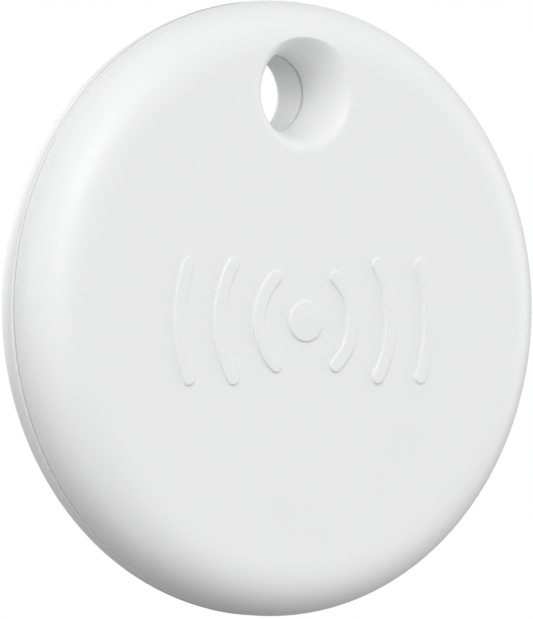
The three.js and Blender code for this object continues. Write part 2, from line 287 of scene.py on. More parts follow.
def moulded(name, dark, light, roughness, scale=700, grain=9000, depth=0.000012):
    """A moulded or pressed finish: mottled colour over a fine grain."""
    finish = Finish(name)
    cloud = finish.noise(scale, 5)
    speck = finish.noise(grain, 2)
    return finish.surface(
        Base_Color=finish.mix(cloud, rgb(*dark), rgb(*light)),
        Roughness=cloud * 0.12 + (roughness - 0.06),
        Normal=finish.bump(speck, 0.5, depth),
    )


def brushed(name, dark, light, roughness, along=(1, 1, 12), scale=1500):
    """Rolled metal: fine lines along one direction, under cloudy wear."""
    finish = Finish(name)
    lines = finish.noise(scale, 4, along)
    wear = finish.noise(350, 4)
    return finish.surface(
        Base_Color=finish.mix(lines * 0.6 + wear * 0.4, rgb(*dark), rgb(*light)),
        Metallic=1.0,
        Roughness=lines * 0.10 + wear * 0.10 + (roughness - 0.1),
        Normal=finish.bump(lines, 0.35, 0.000008),
    )


def turned_steel(name, x, z):
    """Pressed nickel-plated steel: circular drawing marks and small handling scratches."""
    finish = Finish(name)
    marks = finish.rings(finish.radius(x, z), 9000, 4)
    wear = finish.noise(420, 5)
    scratch = finish.edge(finish.noise(900, 2, (14, 1, 1)), 0.70, 0.74)
    base = finish.mix(marks * 0.5 + wear * 0.5, rgb(0.60, 0.60, 0.59), rgb(0.82, 0.82, 0.80))
    return finish.surface(
        Base_Color=finish.mix(scratch * 0.4, base, rgb(0.42, 0.42, 0.42)),
        Metallic=1.0,
        Roughness=marks * 0.12 + wear * 0.14 + scratch * 0.15 + 0.14,
        Normal=finish.bump(marks + scratch * -0.6, 0.3, 0.000006),
    )


def silvered_ceramic(x, z, electrode):
    """A fired disc with a fired-on silver electrode that stops short of its rim."""
    finish = Finish("silvered_ceramic")
    fired = finish.noise(3000, 3)
    radius = finish.radius(x, z) + finish.noise(800, 2) * 0.00008
    bare = finish.edge(radius, electrode * MM, (electrode + 0.08) * MM)
    silver = finish.mix(fired, rgb(0.66, 0.65, 0.62), rgb(0.80, 0.79, 0.76))
    clay = finish.mix(fired, rgb(0.60, 0.55, 0.42), rgb(0.70, 0.65, 0.52))
    return finish.surface(
        Base_Color=finish.mix(bare, silver, clay),
        Metallic=0.75 - bare * 0.75,
        Roughness=fired * 0.15 + bare * 0.1 + 0.42,
        Normal=finish.bump(fired - bare * 0.5, 0.5, 0.000012),
    )


def solder_mask():
    """Green lacquer over woven glass, with the weave just showing."""
    finish = Finish("solder_mask")
    warp = finish.node("ShaderNodeTexWave", {"bands_direction": "X"}, {"Scale": 320.0})
    weft = finish.node("ShaderNodeTexWave", {"bands_direction": "Z"}, {"Scale": 320.0})
    weave = warp * weft
    cloud = finish.noise(260, 4)
    dark, light = rgb(0.012, 0.085, 0.035), rgb(0.03, 0.17, 0.075)
    return finish.surface(
        Base_Color=finish.mix(weave * 0.35 + cloud * 0.5, dark, light),
        Roughness=cloud * 0.1 + 0.24,
        Normal=finish.bump(weave, 0.2, 0.00001),
        Coat_Weight=0.4,
    )


GOLD_DARK, GOLD_LIGHT = (0.72, 0.48, 0.18), (0.93, 0.70, 0.34)
CASE_WHITE = case_white()
SILICONE = moulded("grey_silicone", (0.30, 0.31, 0.33), (0.38, 0.39, 0.41), 0.55, 500, 6000)
FOAM_DARK, FOAM_LIGHT = (0.008, 0.008, 0.009), (0.03, 0.03, 0.032)
FOAM = moulded("black_foam_tape", FOAM_DARK, FOAM_LIGHT, 0.85, 3000, 4000, 0.00004)
BRASS = brushed("rolled_brass", (0.62, 0.42, 0.14), (0.84, 0.62, 0.26), 0.3)
NYLON = moulded("black_nylon", (0.009, 0.009, 0.01), (0.022, 0.022, 0.024), 0.5)
CRADLE = moulded("cradle_black", (0.012, 0.012, 0.013), (0.028, 0.028, 0.03), 0.45, 400)
GASKET = moulded("gasket_grey", (0.10, 0.105, 0.115), (0.16, 0.165, 0.175), 0.4)
POWDER_DARK, POWDER_LIGHT = (0.006, 0.006, 0.006), (0.02, 0.02, 0.02)
POWDER = moulded("pressed_powder", POWDER_DARK, POWDER_LIGHT, 0.9, 4000, 7000, 0.00003)
GOLD = brushed("gold_plate", GOLD_DARK, GOLD_LIGHT, 0.26, (10, 1, 1))
EPOXY = moulded("chip_black", (0.010, 0.010, 0.011), (0.03, 0.03, 0.031), 0.6, 5000, 9000)
LID = brushed("plated_lid", (0.62, 0.60, 0.55), (0.80, 0.78, 0.72), 0.3, (1, 1, 6))
STEEL = brushed("stamped_steel", (0.52, 0.52, 0.51), (0.78, 0.78, 0.77), 0.3, (8, 1, 1))
TIN = brushed("tinned_ends", (0.60, 0.60, 0.59), (0.80, 0.80, 0.79), 0.4, (1, 1, 1))
FIRED = moulded("fired_ceramic", (0.66, 0.65, 0.60), (0.80, 0.79, 0.75), 0.5, 2500, 9000)
FERRITE = moulded("ferrite", (0.035, 0.036, 0.04), (0.075, 0.077, 0.083), 0.6, 3500, 9000)
BROWN = moulded("capacitor_brown", (0.24, 0.15, 0.085), (0.36, 0.24, 0.14), 0.45, 2500, 9000)
MASK = solder_mask()
COPPER_MASK = moulded("masked_copper", (0.035, 0.20, 0.07), (0.06, 0.28, 0.11), 0.3, 900)


# ---------------------------------------------------------------- mesh making

SHARP = 30  # degrees between faces past which an edge is drawn sharp
FLAT = 0.0005  # radians within which joined faces count as one
WELD = 2e-7  # metres within which points are one


def arc(x, y, radius, start, end, steps):
    """Points of an arc between two angles in degrees."""
    angles = [math.radians(start + (end - start) * i / steps) for i in range(steps + 1)]
    return [(x + radius * math.cos(a), y + radius * math.sin(a)) for a in angles]


def soft_section(inner, outer, y0, y1, soft=EASED, steps=3):
    """A closed section with rounded corners, from one radius to another and from y0 to y1."""
    points = arc(outer - soft, y0 + soft, soft, -90, 0, steps)
    points += arc(outer - soft, y1 - soft, soft, 0, 90, steps)
    points += arc(inner + soft, y1 - soft, soft, 90, 180, steps)
    points += arc(inner + soft, y0 + soft, soft, 180, 270, steps)
    return points + points[:1]


def soft_disc(outer, y0, y1, soft=EASED, steps=3):
    """Half of a disc's section, with rounded corners, from the axis round to the axis."""
    points = arc(outer - soft, y0 + soft, soft, -90, 0, steps)
    points += arc(outer - soft, y1 - soft, soft, 0, 90, steps)
    return [(0, y0)] + points + [(0, y1)]


def rounded_rim(x, y, radius, power, steps):
    """The front rim's quarter round, a little squarer than an arc where power is over 2."""
    points = []
    for cosine, sine in arc(0, 0, 1, -90, 0, steps):
        across = max(cosine, 0.0) ** (2 / power)
        along = -(max(-sine, 0.0) ** (2 / power))
        points.append((x + radius * across, y + radius * along))
    return points


def turned(bm, profile, x=0.0, z=0.0, steps=96, angle=TURN):
    """Spins [radius, y] points, in millimetres, about the Y axis through (x, z)."""
    verts = [bm.verts.new((x + r, y, z)) for r, y in profile]
    edges = [bm.edges.new(pair) for pair in zip(verts, verts[1:])]
    full = angle == TURN
    bmesh.ops.spin(
        bm,
        geom=verts + edges,
        cent=(x, 0, z),
        axis=(0, 1, 0),
        angle=angle,
        steps=steps,
        use_merge=full,
    )
    bmesh.ops.remove_doubles(bm, verts=bm.verts, dist=1e-4)


def finished(name, bm, material, body=None):
    """Turns a bmesh in millimetres into a named object in metres that rides on a body."""
    bmesh.ops.recalc_face_normals(bm, faces=bm.faces)
    if bm.calc_volume(signed=True) < 0:
        bmesh.ops.reverse_faces(bm, faces=bm.faces)
    bmesh.ops.scale(bm, vec=(MM, MM, MM), verts=bm.verts)
    mesh = bpy.data.meshes.new(name)
    bm.to_mesh(mesh)
    bm.free()
    piece = bpy.data.objects.new(name, mesh)
    bpy.context.scene.collection.objects.link(piece)
    mesh.materials.append(material)
    mesh.shade_smooth()
    mesh.set_sharp_from_angle(angle=math.radians(SHARP))
    if body:
        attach(piece, body)
    return piece


def block(low, high, soft=0.0):
    """A box between two corners, with its edges rounded by soft."""
    bm = bmesh.new()
    bmesh.ops.create_cube(bm, size=1)
    bmesh.ops.scale(bm, vec=Vector(high) - Vector(low), verts=bm.verts)
    if soft:
        bmesh.ops.bevel(
            bm,
            geom=bm.edges[:],
            offset=soft,
            affect="EDGES",
            segments=2,
            profile=0.5,
            material=-1,
        )
    bmesh.ops.translate(bm, vec=(Vector(low) + Vector(high)) / 2, verts=bm.verts)
    return bm


def absorb(bm, part, matrix=None):
    """Copies another bmesh into bm, moved by a matrix, and frees it."""
    if matrix is not None:
        bmesh.ops.transform(part, matrix=matrix, verts=part.verts)
    mesh = bpy.data.meshes.new("part")
    part.to_mesh(mesh)
    part.free()
    bm.from_mesh(mesh)
    bpy.data.meshes.remove(mesh)


def swung(x, z, degrees=0.0):
    """Turns anticlockwise, seen from the front, and then moves to (x, z)."""
    turn = Matrix.Rotation(math.radians(-degrees), 4, "Y")
    return Matrix.Translation((x, 0, z)) @ turn


def combine(piece, tools):
    """Joins and cuts a piece with (operation, tool) pairs, and removes the tools."""
    for operation, tool in tools:
        cut = piece.modifiers.new(operation, "BOOLEAN")
        cut.operation = operation
        cut.solver = "MANIFOLD"
        cut.object = tool
    bpy.context.view_layer.update()
    depsgraph = bpy.context.evaluated_depsgraph_get()
    mesh = bpy.data.meshes.new_from_object(piece.evaluated_get(depsgraph))
    piece.modifiers.clear()
    piece.data = mesh
    for _, tool in tools:
        bpy.data.objects.remove(tool)
    bm = bmesh.new()
    bm.from_mesh(mesh)
    bmesh.ops.dissolve_limit(bm, angle_limit=FLAT, verts=bm.verts, edges=bm.edges)
    bmesh.ops.remove_doubles(bm, verts=bm.verts, dist=WELD)
    bm.to_mesh(mesh)
    bm.free()
    mesh.shade_smooth()
    mesh.set_sharp_from_angle(angle=math.radians(SHARP))
    even = piece.modifiers.new("even_normals", "WEIGHTED_NORMAL")
    even.mode = "FACE_AREA"
    even.weight = 100
    even.keep_sharp = True
    return piece


# ---------------------------------------------------------------- the case

FRONT_RIM = front_high.y - TONGUE_REACH
BACK_RIM = FRONT_RIM + GROOVE
TONGUE = DISC - GROOVE_DEPTH - RING_FIT
CAVITY = DISC - FRONT_WALL
SOCKET = BORE + TUBE_WALL + HOLE_SEAL_WALL + 2 * RING_FIT
INNER_FRONT = FRONT + FRONT_WALL
LIP_OUTER = CAVITY - LIP_GAP
LIP_INNER = LIP_OUTER - LIP_WALL
BOARD = LIP_INNER - BOARD_FIT
HOLE_STEPS = 128
RIM_STEPS = 240


def lowest(node):
    """The node's end towards the front."""
    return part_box(node)[0].y / MM


def highest(node):
    """The node's end towards the back."""
    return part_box(node)[1].y / MM


def centre(node):
    low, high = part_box(node)
    return (low.x + high.x) / 2 / MM, (low.z + high.z) / 2 / MM


def on_board(degrees, inset):
    """A place on the board: degrees anticlockwise from +X, and how far in from its edge."""
    angle = math.radians(degrees)
    reach = BOARD - inset
    return reach * math.cos(angle), DISC_Z + reach * math.sin(angle)


BOARD_FRONT, BOARD_BACK = lowest("circuit_board"), highest("circuit_board")
EARS = 2  # the first stakes pass through the cradle's ears as well
STAKES = [on_board(219.6, 1.35), on_board(-39.6, 1.35), on_board(62.5, 2.55)]


def bore_tool():
    """The keyring hole as a solid: a wide flare in front and a small round behind."""
    bm = bmesh.new()
    mouth, throat_y = BORE + FLARE_WIDTH, FRONT + FLARE_DEPTH
    back_x = BORE + BORE_DRAFT + BORE_BACK_FILLET
    back_y = BACK - BORE_BACK_FILLET
    profile = [(0, FRONT - 1), (mouth, FRONT - 1)]
    flare = arc(0, 0, 1, -90, -180, 32)
    profile += [(mouth + FLARE_WIDTH * x, throat_y + FLARE_DEPTH * y) for x, y in flare]
    profile += [(BORE, BORE_PARTING)]
    profile += arc(back_x, back_y, BORE_BACK_FILLET, 180, 90, 20)
    profile += [(back_x, BACK + 1), (0, BACK + 1)]
    turned(bm, profile, steps=HOLE_STEPS)
    return finished("bore_tool", bm, CASE_WHITE)


def cylinder(radius, y0, y1, x=0.0, z=0.0, steps=64):
    """A round tool for joining or cutting, from y0 to y1."""
    bm = bmesh.new()
    turned(bm, [(0, y0), (radius, y0), (radius, y1), (0, y1)], x, z, steps)
    return finished("tool", bm, CASE_WHITE)


def front_case():
    """The front: face, rounded rim, tongue, the hole's tube and the post over the switch."""
    bm = bmesh.new()
    x, y = DISC - FRONT_EDGE, FRONT + FRONT_EDGE
    profile = [(0, FRONT), (x - RIM_LEAD, FRONT)]
    profile += rounded_rim(x, y, FRONT_EDGE, RIM_POWER, 48)
    profile += arc(DISC - FRONT_CORNER, FRONT_RIM - FRONT_CORNER, FRONT_CORNER, 0, 90, 5)
    profile += [(TONGUE, FRONT_RIM), (TONGUE, front_high.y), (CAVITY, front_high.y)]
    profile += arc(x, y, FRONT_EDGE - FRONT_WALL, 0, -90, 16)
    profile += [(0, INNER_FRONT)]
    turned(bm, profile, z=DISC_Z, steps=RIM_STEPS)
    piece = finished("front_case", bm, CASE_WHITE, "front_cover")
    tube_end = BORE_PARTING - GROOVE / 2
    tube = cylinder(BORE + TUBE_WALL, INNER_FRONT - BURY, tube_end, steps=HOLE_STEPS)
    switch_x, switch_z = centre("switch_plunger")
    post_end = lowest("switch_plunger") - RING_FIT
    post = cylinder(POST, INNER_FRONT - BURY, post_end, switch_x, switch_z)
    combine(piece, [("UNION", tube), ("UNION", post), ("DIFFERENCE", bore_tool())])
    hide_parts("front_shell")


def back_case():
    """The back: rounded shell, lip, the collar round the hole, and stakes for the board."""
    bm = bmesh.new()
    x, y = DISC - BACK_EDGE, BACK - BACK_EDGE
    inner = BACK_EDGE - BACK_WALL
    lip_angle = math.degrees(math.acos((LIP_INNER - x) / inner))
    lip_top = BACK_RIM - LIP_REACH
    ledge_floor = FRONT_RIM + TONGUE_REACH + GROOVE
    ledge = DISC - GROOVE_DEPTH + SLIDE_FIT
    profile = [(0, BACK - BACK_WALL)]
    profile += arc(x, y, inner, 90, lip_angle, 8)
    profile += [(LIP_INNER, lip_top), (LIP_OUTER, lip_top)]
    profile += [(LIP_OUTER, ledge_floor), (ledge, ledge_floor)]
    profile += [(ledge, BACK_RIM)]
    profile += arc(DISC - BACK_CORNER, BACK_RIM + BACK_CORNER, BACK_CORNER, -90, 0, 8)
    profile += arc(x, y, BACK_EDGE, 0, 90, 40)
    profile += [(x - RIM_LEAD, BACK), (0, BACK)]
    turned(bm, profile, z=DISC_Z, steps=RIM_STEPS)
    piece = finished("back_case", bm, CASE_WHITE, "back_case")
    socket_floor = BORE_PARTING + GROOVE / 2
    root = BACK - BACK_WALL + BURY
    collar_top = socket_floor - COLLAR_REACH
    collar = cylinder(SOCKET + COLLAR_WALL, collar_top, root, steps=HOLE_STEPS)
    well = cylinder(SOCKET, FRONT, socket_floor, steps=HOLE_STEPS)
    tools = [("UNION", collar)]
    for number, (stake_x, stake_z) in enumerate(STAKES):
        top = BOARD_FRONT - (EAR_THICKNESS if number < EARS else 0)
        for radius, y0, y1 in (
            (STAKE_REST, BOARD_BACK, root),
            (STAKE, top - NECK, root),
            (STAKE_HEAD, top - STAKE_HEAD_HEIGHT, top),
        ):
            tools.append(("UNION", cylinder(radius, y0, y1, stake_x, stake_z, 40)))
    combine(piece, tools + [("DIFFERENCE", well), ("DIFFERENCE", bore_tool())])
    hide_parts("back_shell")


def stroke_section(half, top, base):
    """Half of the raised stroke's section, from its crown to its foot."""
    edge = arc(half - MARK_SOFT, top + MARK_SOFT, MARK_SOFT, -90, 0, 5)
    return [(0, top)] + edge + [(half, base), (0, base)]


def raised_arc(bm, radius, side):
    """One stroke of the mark, with round ends: two half turns and the sweep between them."""
    half = MARK_STROKE / 2
    reach = math.asin(min((MARK_HALF_HEIGHT - half) / radius, MARK_WIDEST))
    section = stroke_section(half, FRONT - MARK_HEIGHT, FRONT + MARK_ROOT)
    outline = [(-u, y) for u, y in reversed(section[:-1])] + section[1:]
    z = DISC_Z - MARK_DROP
    steps = max(16, round(reach * radius * 8))
    start = bmesh.new()
    verts = [start.verts.new((radius + u, y, 0)) for u, y in outline]
    edges = [start.edges.new(pair) for pair in zip(verts, verts[1:] + verts[:1])]
    bmesh.ops.rotate(start, verts=verts, cent=(0, 0, 0), matrix=Matrix.Rotation(reach, 3, "Y"))
    bmesh.ops.spin(
        start,
        geom=verts + edges,
        cent=(0, 0, 0),
        axis=(0, -1, 0),
        angle=2 * reach,
        steps=steps,
    )
    for sign in (1, -1):
        end = bmesh.new()
        turned(end, section, steps=12, angle=math.pi)
        flip = Matrix.Rotation(0 if sign > 0 else math.pi, 4, "Y")
        shift = Matrix.Translation((radius, 0, 0))
        swing = Matrix.Rotation(sign * reach, 4, "Y")
        absorb(start, end, swing @ shift @ flip)
    bmesh.ops.remove_doubles(start, verts=start.verts, dist=1e-3)
    turn = Matrix.Rotation(math.pi if side < 0 else 0, 4, "Y")
    absorb(bm, start, Matrix.Translation((0, 0, z)) @ turn)


def signal_mark():
    """A raised dot with three arcs on each side."""
    bm = bmesh.new()
    for radius in MARK_RADII:
        for side in (1, -1):
            raised_arc(bm, radius, side)
    section = stroke_section(MARK_DOT, FRONT - MARK_HEIGHT, FRONT + MARK_ROOT)
    turned(bm, section, z=DISC_Z - MARK_DROP, steps=48)
    piece = finished("signal_mark", bm, CASE_WHITE, "front_cover")


# ---------------------------------------------------------------- inside the case


def shaped(name, bm, material, body, slot, *nodes):
    """A finished piece in the given finish that stands for these frame nodes; the slot is not
    used.
    """
    piece = finished(name, bm, material, body)
    if nodes:
        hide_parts(*nodes)
    return piece


def round_piece(name, profile, node, material, body, slot, steps=96):
    """A piece turned about the middle of the node it stands for."""
    x, z = centre(node)
    bm = bmesh.new()
    turned(bm, profile, x, z, steps)
    return shaped(name, bm, material, body, slot, node)


def seals():
    """Silicone rings round the rim and round the hole."""
    y0, y1 = lowest("seal_ring"), highest("seal_ring")
    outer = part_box("seal_ring")[1].x / MM
    section = soft_section(outer - RIM_SEAL_WALL, outer, y0, y1, 0.12, 5)
    round_piece("rim_seal", section, "seal_ring", SILICONE, "front_seals", "seal", RIM_STEPS)
    y0, y1 = lowest("hole_seal_ring"), highest("hole_seal_ring")
    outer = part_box("hole_seal_ring")[1].x / MM
    section = soft_section(outer - HOLE_SEAL_WALL, outer, y0, y1, 0.06, 4)
    round_piece("hole_seal", section, "hole_seal_ring", SILICONE, "front_seals", "seal")


def sounder():
    """The buzzer under the front: foam tape, brass plate and silvered ceramic."""
    plate_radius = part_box("piezo_plate")[1].x / MM
    ceramic_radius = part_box("piezo_ceramic")[1].x / MM
    x, z = centre("piezo_ceramic")
    tape_inner, tape_outer = plate_radius - TAPE_WIDTH, plate_radius - RING_FIT
    tape = soft_section(tape_inner, tape_outer, lowest("piezo_tape"), highest("piezo_tape"), 0.02)
    round_piece("sounder_tape", tape, "piezo_tape", FOAM, "front_cover", "tape")
    plate = soft_disc(plate_radius, lowest("piezo_plate"), highest("piezo_plate"), 0.03)
    round_piece("sounder_plate", plate, "piezo_plate", BRASS, "front_cover", "plate")
    ceramic = soft_disc(ceramic_radius, lowest("piezo_ceramic"), highest("piezo_ceramic"), 0.03)
    fired = silvered_ceramic(x, z, ceramic_radius - BARE_RIM)
    round_piece("sounder_ceramic", ceramic, "piezo_ceramic", fired, "front_cover", "ceramic")


def board():
    """The board's disc, notched for the hole's collar and drilled for the stakes."""
    bm = bmesh.new()
    turned(bm, soft_disc(BOARD, BOARD_FRONT, BOARD_BACK), z=DISC_Z, steps=160)
    piece = finished("circuit_board_blank", bm, MASK, "back_case")
    notch = cylinder(SOCKET + COLLAR_WALL + 2 * PART_FIT, FRONT, BACK, steps=HOLE_STEPS)
    mouth = block((-NOTCH_MOUTH, FRONT, 0), (NOTCH_MOUTH, BACK, DISC))
    mouth = finished("tool", mouth, MASK)
    tools = [("DIFFERENCE", notch), ("DIFFERENCE", mouth)]
    for x, z in STAKES:
        tools.append(("DIFFERENCE", cylinder(STAKE + PART_FIT, FRONT, BACK, x, z, 40)))
    combine(piece, tools)
    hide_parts("circuit_board")


TRACE_HEIGHT = 0.03
JOINT_STEP = 0.006  # how far a run's round joints stand above it


def by(place, x, z):
    """The place x and z away from another."""
    return place + Vector((x, z))


def traces():
    """Raised runs of lacquered copper between the parts."""
    bm = bmesh.new()
    radio, antenna = Vector(centre("radio_chip")), Vector(centre("chip_antenna"))
    crystal, clock = Vector(centre("radio_crystal")), Vector(centre("clock_crystal"))
    coil, chip = Vector(centre("boost_coil")), Vector(centre("sounder_chip"))
    switch, tank = Vector(centre("switch_base")), Vector(centre("bulk_capacitor"))
    inner, outer = Vector(centre("inner_pin_tip")), Vector(centre("outer_pin_tip"))
    runs = [
        (0.5, [by(radio, 0.9, 1), by(radio, 0.9, 3.6), by(antenna, 2.5, 0.6)]),
        (0.2, [radio, by(radio, -3.4, -2.6), by(crystal, 0.6, 0.6)]),
        (0.2, [radio, by(radio, -2, -3.4), by(clock, 0.4, 1.2)]),
        (0.2, [radio, by(radio, 4, -2), outer]),
        (0.25, [by(outer, 0.2, 0), by(outer, 2.8, -1.9), by(inner, -0.4, -1.3), inner]),
        (0.25, [inner, by(inner, 3.1, -0.8), by(chip, -3.6, -0.6), chip]),
        (0.2, [by(radio, 1, 1.6), by(radio, 4.6, 3.7), by(inner, -1, 2.2)]),
        (0.2, [by(inner, -1, 2.2), by(inner, 4.4, 2.2), switch]),
        (0.6, [chip, by(chip, 0.7, -1.2), coil]),
        (0.6, [coil, by(coil, 0.4, -3.2), by(coil, -1.1, -6.2)]),
        (0.6, [tank, by(tank, -0.4, 2.4), by(clock, -0.9, -0.6)]),
    ]
    for width, places in runs:
        half = width / 2
        for start, end in zip(places, places[1:]):
            along = end - start
            degrees = math.degrees(math.atan2(along.y, along.x))
            low, high = (0, BOARD_FRONT - TRACE_HEIGHT, -half), (along.length, BOARD_FRONT, half)
            absorb(bm, block(low, high), swung(start.x, start.y, degrees))
        for joint in places:
            round_end = bmesh.new()
            top, base = BOARD_FRONT - TRACE_HEIGHT - JOINT_STEP, BOARD_FRONT + 0.02
            turned(round_end, [(0, top), (half, top), (half, base), (0, base)], steps=12)
            absorb(bm, round_end, swung(joint.x, joint.y))
    shaped("board_traces", bm, COPPER_MASK, "back_case", "board")


def cradle():
    """A ring round the cell, with two ears under stake heads and a window for the spring."""
    bm = bmesh.new()
    x, z = centre("battery_can")
    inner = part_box("battery_can")[1].x / MM + CELL_FIT
    outer = inner + CRADLE_WALL
    y0, y1 = lowest("battery_cradle"), highest("battery_cradle")
    turned(bm, soft_section(inner, outer, y0, y1, 0.1), x, z, 160)
    piece = finished("cell_cradle", bm, CRADLE, "back_case")
    tools = []
    for ear_x, ear_z in STAKES[:EARS]:
        ear_top = y1 - EAR_THICKNESS
        tools.append(("UNION", cylinder(EAR, ear_top, y1, ear_x, ear_z, 48)))
        along = Vector((x - ear_x, z - ear_z))
        degrees = math.degrees(math.atan2(along.y, along.x))
        arm = block((0, ear_top, -EAR), (along.length, y1, EAR))
        bmesh.ops.transform(arm, matrix=swung(ear_x, ear_z, degrees), verts=arm.verts)
        tools.append(("UNION", finished("tool", arm, CRADLE)))
    well = cylinder(inner, FRONT, BACK, x, z, 160)
    half = CRADLE_WINDOW / 2
    window = block((CRADLE_WINDOW_START, FRONT, z - half), (DISC, BACK, z + half))
    window = finished("tool", window, CRADLE)
    tools += [("DIFFERENCE", well), ("DIFFERENCE", window)]
    for ear_x, ear_z in STAKES[:EARS]:
        tools.append(("DIFFERENCE", cylinder(STAKE + PART_FIT, FRONT, BACK, ear_x, ear_z, 40)))
    combine(piece, tools)
    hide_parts("battery_cradle")


def coin_cell():
    """The cell's can, cap and gasket, with a raised plus sign on the can."""
    x, z = centre("battery_can")
    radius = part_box("battery_can")[1].x / MM
    y0, y1 = lowest("battery_can"), highest("battery_can")
    wall = CELL_WALL
    can = [(0, y0 + DISH), (radius - 1.3, y0 + DISH), (radius - 1.1, y0)]
    can += arc(radius - CAN_ROUND, y0 + CAN_ROUND, CAN_ROUND, -90, 0, 8)
    can += arc(radius - CRIMP, y1 - CRIMP, CRIMP, 0, 90, 4)
    can += [(radius - wall, y1), (radius - wall, y0 + 2 * wall), (radius - 2 * wall, y0 + wall)]
    can += [(0, y0 + wall)]
    steel = turned_steel("cell_steel", x, z)
    round_piece("cell_can", can, "battery_can", steel, "battery", "cell_steel", 160)
    cap_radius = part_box("battery_cap")[1].x / MM
    c0, c1 = lowest("battery_cap"), highest("battery_cap")
    cap = [(0, c1 - wall), (cap_radius - CAP_TAPER - wall, c1 - wall)]
    cap += [(cap_radius - wall, c0), (cap_radius, c0)]
    cap_edge = cap_radius - CAP_TAPER - CAP_ROUND
    cap += arc(cap_edge, c1 - CAP_ROUND, CAP_ROUND, 0, 90, 4) + [(0, c1)]
    round_piece("cell_cap", cap, "battery_cap", steel, "battery", "cell_steel", 160)
    gasket_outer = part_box("battery_gasket")[1].x / MM
    g0, g1 = lowest("battery_gasket"), highest("battery_gasket")
    section = soft_section(gasket_outer - GASKET_WALL, gasket_outer, g0, g1, 0.08)
    round_piece("cell_gasket", section, "battery_gasket", GASKET, "battery", "cell_gasket", 160)
    bm = bmesh.new()
    beside = PLUS_HALF - 0.01
    for start, turn in ((-PLUS_ARM, 0), (beside, 90), (beside, 270)):
        bar = block((start, y0 + 0.01, -PLUS_HALF), (PLUS_ARM, y0 + 0.06, PLUS_HALF), 0.02)
        absorb(bm, bar, swung(x, z + PLUS_PLACE, turn))
    shaped("cell_plus_sign", bm, steel, "battery", "cell_steel")


def strip(outline, thickness, z0, z1, steps=6):
    """A bent strip along (x, y) points, seen along Z, with rounded bends."""
    bm = bmesh.new()
    verts = [bm.verts.new((x, y, z0)) for x, y in outline]
    for pair in zip(verts, verts[1:]):
        bm.edges.new(pair)
    bmesh.ops.bevel(
        bm,
        geom=verts[1:-1],
        offset=SPRING_BEND,
        affect="VERTICES",
        segments=steps,
        profile=0.5,
        material=-1,
    )
    swept = bmesh.ops.extrude_edge_only(bm, edges=bm.edges[:])
    moved = [item for item in swept["geom"] if isinstance(item, bmesh.types.BMVert)]
    bmesh.ops.translate(bm, vec=(0, 0, z1 - z0), verts=moved)
    bmesh.ops.recalc_face_normals(bm, faces=bm.faces)
    bmesh.ops.solidify(bm, geom=bm.faces[:], thickness=thickness)
    return bm


def contacts():
    """The bent spring at the cell's side and the three-armed one under it."""
    foot_y, x_far = BOARD_FRONT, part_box("side_contact")[1].x / MM
    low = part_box("side_contact")[0].x / MM
    z0, z1 = (corner.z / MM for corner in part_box("side_contact"))
    y0 = lowest("side_contact")
    outline = [
        (x_far, foot_y - SPRING_GAUGE),
        (low + SPRING_LEAN, foot_y - SPRING_GAUGE),
        (low + SPRING_LEAN, foot_y - 1),
        (low + 0.02, foot_y - 2),
        (low + SPRING_FLARE, y0 + 0.08),
    ]
    bm = strip(outline, SPRING_GAUGE, z0, z1)
    shaped("side_spring", bm, GOLD, "back_case", "contact", "side_contact")
    x, z = centre("battery_can")
    y0, y1 = lowest("under_contact"), highest("under_contact")
    bm = bmesh.new()
    turned(bm, soft_disc(UNDER_HUB, y0, y1, 0.05), steps=48)
    piece = finished("under_spring", bm, GOLD, "back_case")
    piece.data.transform(Matrix.Translation((x * MM, 0, z * MM)))
    tools = []
    for turn in (90, 210, 330):
        arm = block((0, y0, -UNDER_HALF), (UNDER_ARM, y1, UNDER_HALF), 0.05)
        bmesh.ops.transform(arm, matrix=swung(x, z, turn), verts=arm.verts)
        tools.append(("UNION", finished("tool", arm, GOLD)))
    combine(piece, tools)
    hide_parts("under_contact")


def spring_pins():
    """Two barrels with a round-nosed pin in each."""
    for side in ("inner", "outer"):
        sleeve, tip = f"{side}_pin_sleeve", f"{side}_pin_tip"
        y0, y1 = lowest(sleeve), highest(sleeve)
        bore = PIN_TIP + RING_FIT
        profile = [(0, y1 - PIN_FLOOR), (bore, y1 - PIN_FLOOR)]
        profile += arc(bore + 0.05, y0 + 0.05, 0.05, 180, 270, 3)
        profile += arc(PIN - 0.06, y0 + 0.06, 0.06, -90, 0, 3)
        profile += [(PIN, y1 - 0.5), (PIN_FOOT, y1 - 0.42), (PIN_FOOT, y1), (0, y1)]
        round_piece(f"{side}_pin_barrel", profile, sleeve, GOLD, "back_case", "contact", 48)
        y0, y1 = lowest(tip), highest(tip)
        profile = arc(0, y0 + PIN_TIP, PIN_TIP, -90, 0, 10) + [(PIN_TIP, y1), (0, y1)]
        round_piece(f"{side}_pin_nose", profile, tip, GOLD, f"{side}_pin", "contact", 48)


